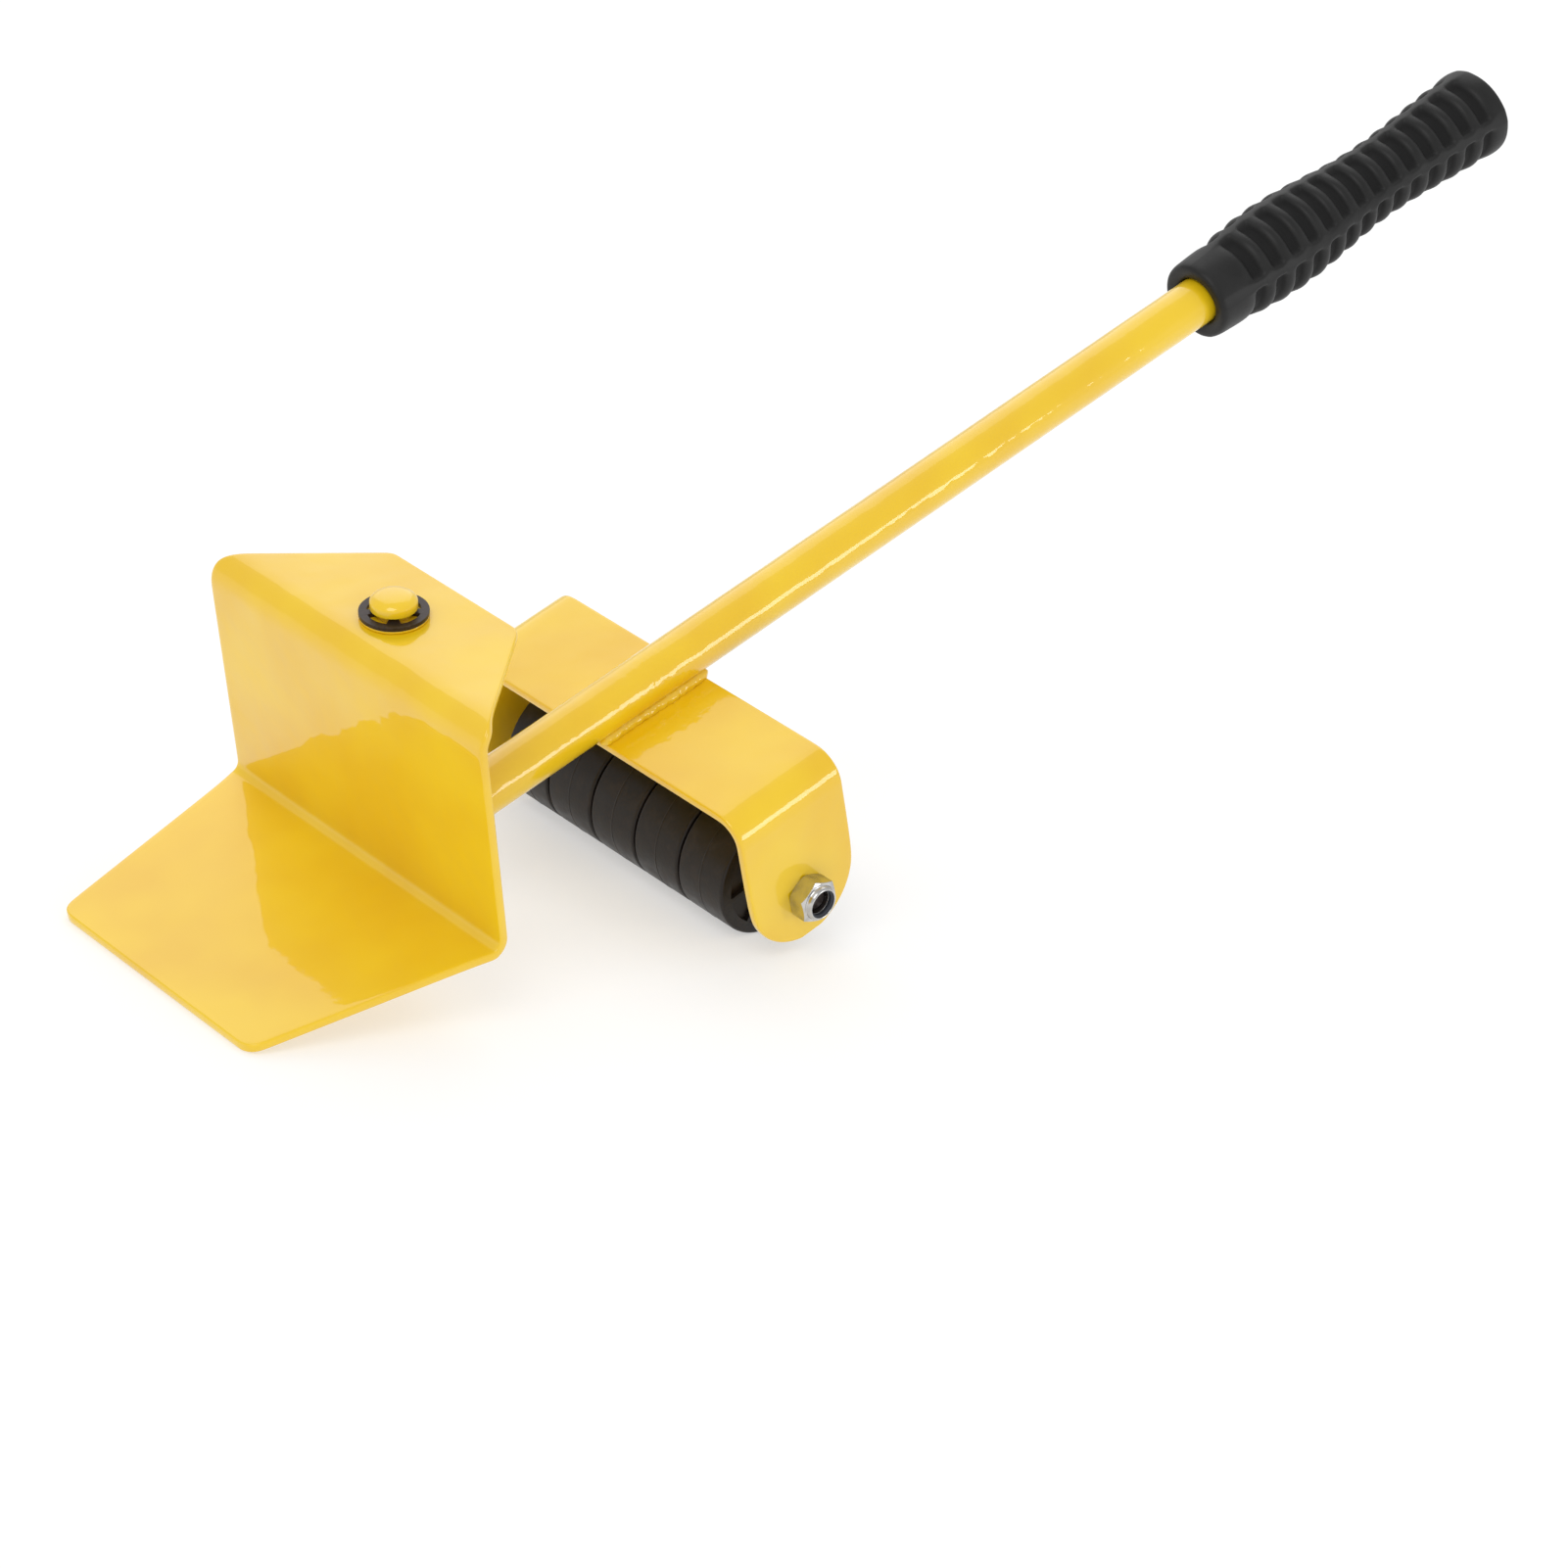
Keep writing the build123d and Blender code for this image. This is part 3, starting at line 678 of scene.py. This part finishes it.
class TOEJACK_OT_swivel_fittings(bpy.types.Operator):
    """Make the swivel pin, its two washers and the retaining clip"""
    bl_idname = "toe_jack.swivel_fittings"
    bl_label = "Swivel Fittings"

    def execute(self, context):
        lever = context.scene.toe_jack.lever
        place = head_frame()
        top = lever.pin_top
        groove = 5.0 * MM
        groove_low = CLIP_SEAT - 0.05 * MM
        groove_high = groove_low + 2.2 * MM
        plug = lever.radius - lever.wall - 0.02 * MM
        plug_end = TUBE_TOP - 20.0 * MM
        pin = turned("pivot_pin_turned", [
            (0.0, top), (3.6 * MM, top - 0.06 * MM), (5.1 * MM, top - 0.4 * MM),
            (6.3 * MM, top - 1.1 * MM), (lever.pin - 0.1 * MM, top - 1.9 * MM),
            (lever.pin, top - 2.6 * MM), (lever.pin, groove_high),
            (groove, groove_high), (groove, groove_low), (lever.pin, groove_low),
            (lever.pin, TUBE_TOP), (plug, TUBE_TOP), (plug, plug_end + 1.0 * MM),
            (plug - 1.0 * MM, plug_end), (0.0, plug_end)], place, bevel=0.12 * MM)
        wear(pin, "lever", "yellow_enamel", gloss_enamel, "pivot_pin")
        inner = lever.pin + 0.05 * MM
        outer = 10.0 * MM
        for name, low, high, slot, maker in (
                ("pivot_washer_upper", 0.1 * MM, CLIP_SEAT, "yellow_enamel", gloss_enamel),
                ("pivot_washer_lower", TUBE_TOP, PLATE_SEAT, "zinc", bright_zinc)):
            washer = turned(name + "_turned", [
                (inner, high), (outer, high), (outer, low), (inner, low)],
                place, bevel=0.3 * MM)
            wear(washer, "lever", slot, maker, name)
        clip = self.clip(lever, place)
        wear(clip, "lever", "black_oxide", phosphated_steel, "e_clip")
        return {"FINISHED"}

    def clip(self, lever, place):
        """Flat E-shaped clip: a ring open at one side, with three prongs to the groove."""
        ring_inner = 7.9 * MM
        seat = 5.02 * MM
        half_opening = 4.8 * MM
        opening_angle = math.radians(51)
        # In degrees: where each prong starts and ends, and half of what its sides run over.
        prongs = ((87.0, 107.0), (165.0, 180.0))
        flank = 0.7
        edges = [mark + side for prong in prongs for mark in prong for side in (-flank, flank)]
        marks = sorted([*range(42, 180, 4), *edges[:-1]])
        half = [(math.asin(half_opening / ring_inner), ring_inner,
                 math.asin(half_opening / lever.clip))]
        for mark in marks:
            held = any(start < mark < end for start, end in prongs)
            half.append((math.radians(mark), seat if held else ring_inner, math.radians(mark)))
        whole = half + [(2 * math.pi - inner, radius, 2 * math.pi - outer)
                        for inner, radius, outer in reversed(half[:-1])]
        points = []
        for inner, radius, outer in whole:
            points.append(Vector((math.cos(inner), math.sin(inner), 0.0)) * radius)
            points.append(Vector((math.cos(outer), math.sin(outer), 0.0)) * lever.clip)
        faces = []
        for index in range(len(whole) - 1):
            low = 2 * index
            faces.append((low, low + 1, low + 3, low + 2))
        piece = new_piece("e_clip_stamping", points, faces)
        modify(piece, "SOLIDIFY", thickness=1.2 * MM, offset=1.0)
        soften(piece, 0.18 * MM, angle=50.0)
        opening = Matrix.Rotation(opening_angle, 4, "Z")
        return apply_stack(piece, place @ Matrix.Translation((0, 0, CLIP_SEAT)) @ opening)


# ---- Bracket and welds ----

def bracket_stations(fulcrum, radius):
    """Stations of the bracket's outer face, from one ear over the top to the other."""
    top = -radius
    foot = top - fulcrum.ear
    span = fulcrum.span
    corners = [Vector(spot) for spot in ((-span, foot), (-span, top), (span, top), (span, foot))]
    steps = 6
    path = rounded_path(corners, [fulcrum.bend] * 2, steps)
    near_bend, far_bend = path[1:steps + 2], path[steps + 2:-1]
    half = fulcrum.width / 2
    sweeps = [math.radians(degrees) for degrees in (9, 16, 27, 40, 55, 72, 90)]
    ear = [(foot + half * (1 - math.cos(sweep)), half * math.sin(sweep)) for sweep in sweeps]
    ear += [(near_bend[0].y - 6 * MM, half), (near_bend[0].y - 1 * MM, half)]
    stations = [(Vector((-span, height)), width) for height, width in ear]
    stations += [(point, half) for point in near_bend]
    stations += [(Vector((x * MM, top)), half) for x in (-50, -25, 0, 25, 50)]
    stations += [(point, half) for point in far_bend]
    stations += [(Vector((span, height)), width) for height, width in reversed(ear)]
    return stations[::-1]


class TOEJACK_OT_roller_bracket(bpy.types.Operator):
    """Make the U bracket with its round-ended ears"""
    bl_idname = "toe_jack.roller_bracket"
    bl_label = "Roller Bracket"

    def execute(self, context):
        settings = context.scene.toe_jack
        fulcrum = settings.fulcrum
        middle = fulcrum.front + fulcrum.width / 2
        # The stations' X runs across the bar, so the cage is turned a quarter about Z.
        place = bar_frame(settings, middle) @ Matrix.Rotation(math.pi / 2, 4, "Z")
        stations = bracket_stations(fulcrum, settings.lever.radius)
        piece = folded_sheet("roller_bracket_sheet", stations, place, settings.plate.sheet,
                             levels=3, margin=1.0 * MM)
        cut_hole(piece, fulcrum.bolt + 0.05 * MM, axle_frame(settings))
        wear(piece, "lever", "yellow_enamel", gloss_enamel, "roller_bracket")
        return {"FINISHED"}


class TOEJACK_OT_welds(bpy.types.Operator):
    """Make the rippled weld beads between bar and bracket"""
    bl_idname = "toe_jack.welds"
    bl_label = "Weld Beads"

    def execute(self, context):
        settings = context.scene.toe_jack
        for name, side in (("weld_left", 1), ("weld_right", -1)):
            piece = self.bead(name + "_bead", settings, side)
            wear(piece, "lever", "yellow_enamel", gloss_enamel, name)
        return {"FINISHED"}

    def bead(self, name, settings, side):
        """Bead whose ripples follow each other every few millimetres."""
        fulcrum = settings.fulcrum
        overrun = 1.5 * MM
        start = fulcrum.front - overrun
        finish_at = fulcrum.front + fulcrum.width + overrun
        ripple = 3.1 * MM
        taper = 2.5 * MM
        thick = 2.2 * MM
        rows = 64
        rings = []
        for row in range(rows + 1):
            along = start + (finish_at - start) * row / rows
            lead = math.sqrt(min(1.0, (along - start) / taper))
            tail = math.sqrt(min(1.0, (finish_at - along) / taper))
            wave = abs(math.sin(math.pi * (along - start) / ripple + 0.4 * side))
            radius = thick * (0.12 + 0.88 * lead * tail) * (0.9 + 0.1 * wave)
            drift = 0.25 * MM * math.sin(along / (7 * MM) + side)
            centre = Vector((along, side * (5.3 * MM + drift), -6.9 * MM))
            rings.append([centre + Vector((0, across, height))
                          for across, height, _ in circle_ring(radius, 0.0, 16)])
        piece = ringed(name, rings, Matrix.Identity(4))
        smooth(piece, 1)
        rough = bpy.data.textures.new(name + "_roughness", "CLOUDS")
        rough.noise_scale = 2.4 * MM
        modify(piece, "DISPLACE", texture=rough, strength=0.9 * MM, mid_level=0.5,
               texture_coords="LOCAL")
        return apply_stack(piece, bar_frame(settings))


# ---- Axle ----

# Slope of the 30 degree chamfers on the hexagons' corners.
HEX_CHAMFER = math.tan(math.radians(30))


class TOEJACK_OT_axle(bpy.types.Operator):
    """Make the axle bolt, its locking nut and the two sleeves"""
    bl_idname = "toe_jack.axle"
    bl_label = "Axle"

    def execute(self, context):
        settings = context.scene.toe_jack
        fulcrum = settings.fulcrum
        # The bolt's dark steel is partly painted shade: its end stands in for the shadowed hollow
        # inside the nut.
        wear(self.bolt(settings), "lever", "black_oxide", phosphated_steel, "axle_bolt")
        wear(self.nut(settings), "lever", "zinc", bright_zinc, "axle_nut")
        bore, rim = 4.05 * MM, 4.85 * MM
        low = fulcrum.nut - 2.05 * MM
        ring = turned("nut_insert_ring", [
            (bore, low + 1.3 * MM), (4.5 * MM, low + 1.5 * MM), (rim, low + 1.45 * MM),
            (rim, low), (bore, low)], self.nut_side(settings), steps=64)
        # The insert ring's near-black nylon is painted shade of the nut's hollow.
        wear(ring, "lever", "insert_nylon", insert_nylon, "nut_insert")
        inner_face = fulcrum.span - settings.plate.sheet
        row_end = 2.5 * fulcrum.pitch
        half_length = (inner_face - row_end) / 2 - 0.15 * MM
        outside = 6.0 * MM
        for name, side in (("spacer_left", 1), ("spacer_right", -1)):
            middle = side * (inner_face + row_end) / 2
            sleeve = turned(name + "_sleeve", [
                (bore, half_length), (outside, half_length),
                (outside, -half_length), (bore, -half_length)],
                axle_frame(settings, middle), steps=64, bevel=0.3 * MM)
            wear(sleeve, "lever", "zinc", bright_zinc, name)
        return {"FINISHED"}

    def nut_side(self, settings):
        """Frame on the -Y ear's outer face, Z away from the bracket."""
        return axle_frame(settings, -settings.fulcrum.span) @ Matrix.Rotation(math.pi, 4, "X")

    def bolt(self, settings):
        """Hexagon-head bolt, drawn with its head's underside at Z = 0."""
        fulcrum = settings.fulcrum
        head = 5.3 * MM
        recess = 3.2 * MM
        end = -(2 * fulcrum.span + fulcrum.nut - recess)
        radius = fulcrum.bolt
        flats = fulcrum.flats
        rings = [circle_ring(*spot) for spot in (
            (radius - 1.4 * MM, end), (radius - 0.9 * MM, end + 0.1 * MM),
            (radius, end + 1.0 * MM), (radius, -0.3 * MM), (radius + 0.3 * MM, 0.0),
            (flats / 2 - 0.4 * MM, 0.0))]
        rings += [hexagon_ring(flats - 0.1 * MM, 0.25 * MM), hexagon_ring(flats, 0.5 * MM),
                  hexagon_ring(flats, head, HEX_CHAMFER)]
        rings += [circle_ring(flats / 2 - inset, head) for inset in (0.2 * MM, 1.2 * MM)]
        piece = ringed("axle_bolt_forging", rings, Matrix.Identity(4))
        soften(piece, 0.15 * MM, angle=28.0)
        return apply_stack(piece, axle_frame(settings, fulcrum.span))

    def nut(self, settings):
        """Locking nut: hexagon, collar with a rolled lip, and the bore."""
        fulcrum = settings.fulcrum
        flats = fulcrum.flats
        edge = flats / 2 - 0.1 * MM
        top = fulcrum.nut
        shoulder = top - 1.8 * MM
        bore = fulcrum.bolt + 0.02 * MM
        rings = [
            circle_ring(bore, 0.4 * MM), circle_ring(bore + 0.5 * MM, 0.0),
            circle_ring(edge, 0.0), hexagon_ring(flats, 0.0, -HEX_CHAMFER),
            hexagon_ring(flats, shoulder, HEX_CHAMFER), circle_ring(edge, shoulder)]
        # The collar in millimetres: its radius, and its height against the nut's top.
        collar = ((5.75, -1.75), (5.6, -1.4), (5.5, -0.6), (5.2, -0.15), (4.85, 0.0),
                  (4.6, -0.1), (4.55, -0.5), (4.9, -0.55), (4.9, -2.1))
        rings += [circle_ring(radius * MM, top + height * MM) for radius, height in collar]
        rings.append(circle_ring(bore, top - 2.15 * MM))
        piece = ringed("axle_nut_forging", rings, Matrix.Identity(4), looped=True)
        soften(piece, 0.12 * MM, angle=28.0)
        return apply_stack(piece, self.nut_side(settings))


# ---- Rollers ----

def radial_box(angle, inner, outer, thick, low, high):
    """Corners of a radial spoke, its inner and outer ends flat."""
    direction = Vector((math.cos(angle), math.sin(angle), 0))
    across = Vector((-direction.y, direction.x, 0)) * thick / 2
    return [direction * radius + across * side + Vector((0, 0, height))
            for height in (low, high) for radius in (inner, outer) for side in (-1, 1)]


class TOEJACK_OT_rollers(bpy.types.Operator):
    """Make the row of moulded rollers, each on its own body"""
    bl_idname = "toe_jack.rollers"
    bl_label = "Rollers"

    def execute(self, context):
        settings = context.scene.toe_jack
        pitch = settings.fulcrum.pitch
        bodies = sorted(name for name in frame["bodies"] if name.startswith("roller_"))
        for index, body in enumerate(bodies):
            across = (index - (len(bodies) - 1) / 2) * pitch
            piece = self.roller(f"wheel_{index + 1}_moulding", settings, across, index)
            wear(piece, body, "wheel_plastic", moulded_nylon, f"wheel_{index + 1}")
        return {"FINISHED"}

    def roller(self, name, settings, across, index):
        """One roller: tread with a parting line, rim, recessed face, hub and spokes."""
        radius = settings.fulcrum.wheel
        tread = radius - 0.08 * MM
        half = 9.98 * MM
        bore = settings.fulcrum.bolt + 0.06 * MM
        hub = 7.5 * MM
        rim = radius - 4.0 * MM
        floor = half - 1.5 * MM
        line = 0.35 * MM
        spokes, spoke_thick = 8, 1.6 * MM
        upper = [
            (bore, half), (hub, half), (hub + 0.2 * MM, floor), (rim - 0.3 * MM, floor),
            (rim, half), (radius - 1.1 * MM, half), (radius - 0.55 * MM, half - 0.2 * MM),
            (radius - 0.2 * MM, half - 0.6 * MM), (tread, half - 1.2 * MM), (tread, line),
            (radius, line * 0.6)]
        profile = upper + [(r, -z) for r, z in reversed(upper)]
        piece = turned(name, profile, Matrix.Identity(4), bevel=0.15 * MM)
        overlap = 0.3 * MM
        mesh = bmesh.new()
        mesh.from_mesh(piece.data)
        for side in (1, -1):
            low, high = sorted((side * (floor - overlap), side * (half - 0.1 * MM)))
            for number in range(spokes):
                angle = 2 * math.pi * number / spokes
                corners = radial_box(angle, hub - overlap, rim + overlap, spoke_thick, low, high)
                made = [mesh.verts.new(corner) for corner in corners]
                for face in ((0, 1, 3, 2), (4, 6, 7, 5), (0, 4, 5, 1),
                             (2, 3, 7, 6), (0, 2, 6, 4), (1, 5, 7, 3)):
                    mesh.faces.new([made[corner] for corner in face])
        mesh.to_mesh(piece.data)
        mesh.free()
        # Each roller has come to rest at an angle of its own.
        rest = Matrix.Rotation(0.7 * index, 4, "Z")
        piece.data.transform(axle_frame(settings, across) @ rest)
        return piece


# ---- Hand grip ----

# Share of a pocket's depth that its rounded edge takes.
EDGE_SHARE = 0.25


def grip_radius(grip, along):
    """Outside radius of the grip, smoothly through mouth, crest, waist and end."""
    knots = ((0.0, grip.mouth), (39 * MM, grip.crest), (88 * MM, grip.waist),
             (grip.long, grip.tail))
    for (start, low), (end, high) in zip(knots, knots[1:]):
        if along <= end:
            blend = (1 - math.cos(math.pi * (along - start) / (end - start))) / 2
            return low + (high - low) * blend
    return grip.tail


def grip_columns(grip):
    """Angles round the grip, each with its share of the pocket depth."""
    edge = grip.rib / 2 / (15 * MM)
    wall = math.radians(2.6)
    columns = []
    for rib in range(4):
        middle = rib * math.pi / 2 + grip.clock
        columns += [(middle - edge, 0.0), (middle, 0.0), (middle + edge, 0.0),
                    (middle + edge + wall, 1.0)]
        columns += [(middle + math.radians(angle), 1.0) for angle in (27, 45, 63)]
        columns.append((middle + math.pi / 2 - edge - wall, 1.0))
    return columns


def grip_rows(grip):
    """Stations along the grip, each with its share of the pocket depth."""
    wall = 0.5 * MM
    rows = [(2.0 * MM, 0.0), (5.0 * MM, 0.0), (11.0 * MM, 0.0)]
    for number in range(14):
        middle = grip.first + number * grip.pitch
        start = middle - grip.pocket / 2
        end = middle + grip.pocket / 2
        rows += [(start, EDGE_SHARE), (start + wall, 1.0), (middle, 1.0), (end - wall, 1.0),
                 (end, EDGE_SHARE), (middle + grip.pitch / 2, 0.0)]
    rows[-1] = (grip.long - 5.0 * MM, 0.0)
    rows.append((grip.long - 2.2 * MM, 0.0))
    return rows


class TOEJACK_OT_hand_grip(bpy.types.Operator):
    """Make the moulded grip with its rings, ribs and pockets"""
    bl_idname = "toe_jack.hand_grip"
    bl_label = "Hand Grip"

    def execute(self, context):
        settings = context.scene.toe_jack
        grip = settings.grip
        columns = grip_columns(grip)
        bore = settings.lever.radius + 0.1 * MM
        depth = settings.lever.end - grip.start + 0.5 * MM
        rings = [self.ring(columns, *spot) for spot in (
            (bore * 0.5, depth), (bore, depth), (bore, depth - 1.0 * MM), (bore, 3.0 * MM),
            (bore + 0.1 * MM, 1.6 * MM), (bore + 1.0 * MM, 0.5 * MM),
            (grip.mouth - 2.0 * MM, 0.0), (grip.mouth - 0.6 * MM, 0.4 * MM))]
        shares = [0.0] * (len(rings) * len(columns))
        for along, share in grip_rows(grip):
            outside = grip_radius(grip, along)
            rings.append([
                self.point(angle, outside - share * pocket * grip.depth, along)
                for angle, pocket in columns])
            shares += [max(0.0, share - EDGE_SHARE) * pocket for _, pocket in columns]
        rings += [self.ring(columns, *spot) for spot in (
            (grip.tail - 0.35 * MM, grip.long - 0.7 * MM), (grip.tail - 1.6 * MM, grip.long),
            (grip.tail - 3.2 * MM, grip.long), (grip.tail * 0.5, grip.long))]
        piece = ringed("hand_grip_moulding", rings, Matrix.Identity(4))
        mesh = piece.data
        shares += [0.0] * (len(mesh.vertices) - len(shares))
        # The pocket attribute marks the pocket floors, for their painted shade and their duller
        # roughness.
        mesh.attributes.new("pocket", "FLOAT", "POINT").data.foreach_set("value", shares)
        smooth(piece, 2)
        apply_stack(piece, grip_frame(settings))
        wear(piece, "lever", "black_rubber", moulded_rubber, "hand_grip")
        return {"FINISHED"}

    def point(self, angle, radius, along):
        """Point at an angle from the -Y side towards the top of the bar."""
        return (radius * math.sin(angle), radius * math.cos(angle), along)

    def ring(self, columns, radius, along):
        """Plain round ring on the grip's columns."""
        return [self.point(angle, radius, along) for angle, _ in columns]


# ---- Stage ----

class TOEJACK_OT_stage(bpy.types.Operator):
    """Make the floor, the lights and the camera"""
    bl_idname = "toe_jack.stage"
    bl_label = "Stage"

    def execute(self, context):
        scene = context.scene
        stage = scene.toe_jack.stage
        self.floor(stage)
        self.world(scene)
        self.light("back_softbox", (0.64, 1.36, 1.6), 2.2, 13.0)
        self.light("left_softbox", (-1.5, -0.6, 1.7), 1.1, 12.0)
        self.light("ear_softbox", (0.8, -1.8, 0.45), 0.5, 4.7)
        self.camera(scene, stage)
        scene.view_settings.view_transform = "Standard"
        scene.view_settings.look = "None"
        return {"FINISHED"}

    def floor(self, stage):
        """Wide plain floor just under the rollers and the toe."""
        reach = 8.0
        depth = -0.02 * MM
        corners = [(-reach, -reach, depth), (reach, -reach, depth),
                   (reach, reach, depth), (-reach, reach, depth)]
        floor = new_piece("stage_floor", corners, [(0, 1, 2, 3)])
        floor.data.materials.append(floor_paint(stage.floor))

    def world(self, scene):
        """Even white surroundings."""
        world = bpy.data.worlds.new("white_studio")
        scene.world = world
        world.use_nodes = True
        background = world.node_tree.nodes["Background"]
        background.inputs["Color"].default_value = (1, 1, 1, 1)
        background.inputs["Strength"].default_value = 0.72

    def light(self, name, place, size, power):
        """Square softbox aimed at the object."""
        data = bpy.data.lights.new(name, "AREA")
        data.size = size
        data.energy = power
        light = bpy.data.objects.new(name, data)
        light.location = place
        light.rotation_euler = Vector(place).to_track_quat("Z", "Y").to_euler()
        bpy.context.scene.collection.objects.link(light)

    def camera(self, scene, stage):
        """Long-lens camera looking down at the toe and along the handle."""
        data = bpy.data.cameras.new("camera")
        data.lens = stage.lens
        data.sensor_width = 36.0
        data.clip_end = 50.0
        camera = bpy.data.objects.new("camera", data)
        aim = Vector((-39.27, -16.56, 29.26)) * MM
        back = Vector((math.cos(stage.azimuth) * math.cos(stage.elevation),
                       math.sin(stage.azimuth) * math.cos(stage.elevation),
                       math.sin(stage.elevation)))
        turned_camera = back.to_track_quat("Z", "Y").to_matrix().to_4x4()
        camera.matrix_world = (Matrix.Translation(aim + back * stage.distance)
                               @ turned_camera @ Matrix.Rotation(stage.roll, 4, "Z"))
        scene.collection.objects.link(camera)
        scene.camera = camera


# ---- Add-on ----

PIECE_OPERATORS = (
    TOEJACK_OT_lifting_plate,
    TOEJACK_OT_lever_bar,
    TOEJACK_OT_swivel_fittings,
    TOEJACK_OT_roller_bracket,
    TOEJACK_OT_welds,
    TOEJACK_OT_axle,
    TOEJACK_OT_rollers,
    TOEJACK_OT_hand_grip,
    TOEJACK_OT_stage,
)


class TOEJACK_PT_panel(bpy.types.Panel):
    """Buttons for the pieces of the toe jack"""
    bl_label = "Toe Jack"
    bl_idname = "TOEJACK_PT_panel"
    bl_space_type = "VIEW_3D"
    bl_region_type = "UI"
    bl_category = "Toe Jack"

    def draw(self, context):
        settings = context.scene.toe_jack
        for operator in PIECE_OPERATORS:
            self.layout.operator(operator.bl_idname)
        for name in ("plate", "lever", "fulcrum", "grip", "colours", "stage"):
            group = getattr(settings, name)
            box = self.layout.box()
            for key in group.bl_rna.properties.keys():
                if key not in ("rna_type", "name"):
                    box.prop(group, key)


CLASSES = (
    ToeJackPlate,
    ToeJackLever,
    ToeJackFulcrum,
    ToeJackGrip,
    ToeJackColours,
    ToeJackStage,
    ToeJackSettings,
    *PIECE_OPERATORS,
    TOEJACK_PT_panel,
)


def register():
    """Registers the classes and the scene's settings."""
    for made in CLASSES:
        bpy.utils.register_class(made)
    bpy.types.Scene.toe_jack = bpy.props.PointerProperty(type=ToeJackSettings)


def unregister():
    """Removes the settings and the classes."""
    del bpy.types.Scene.toe_jack
    for made in reversed(CLASSES):
        bpy.utils.unregister_class(made)


def main():
    """Makes every piece."""
    register()
    for operator in PIECE_OPERATORS:
        group, name = operator.bl_idname.split(".")
        getattr(getattr(bpy.ops, group), name)()


if __name__ == "__main__":
    main()
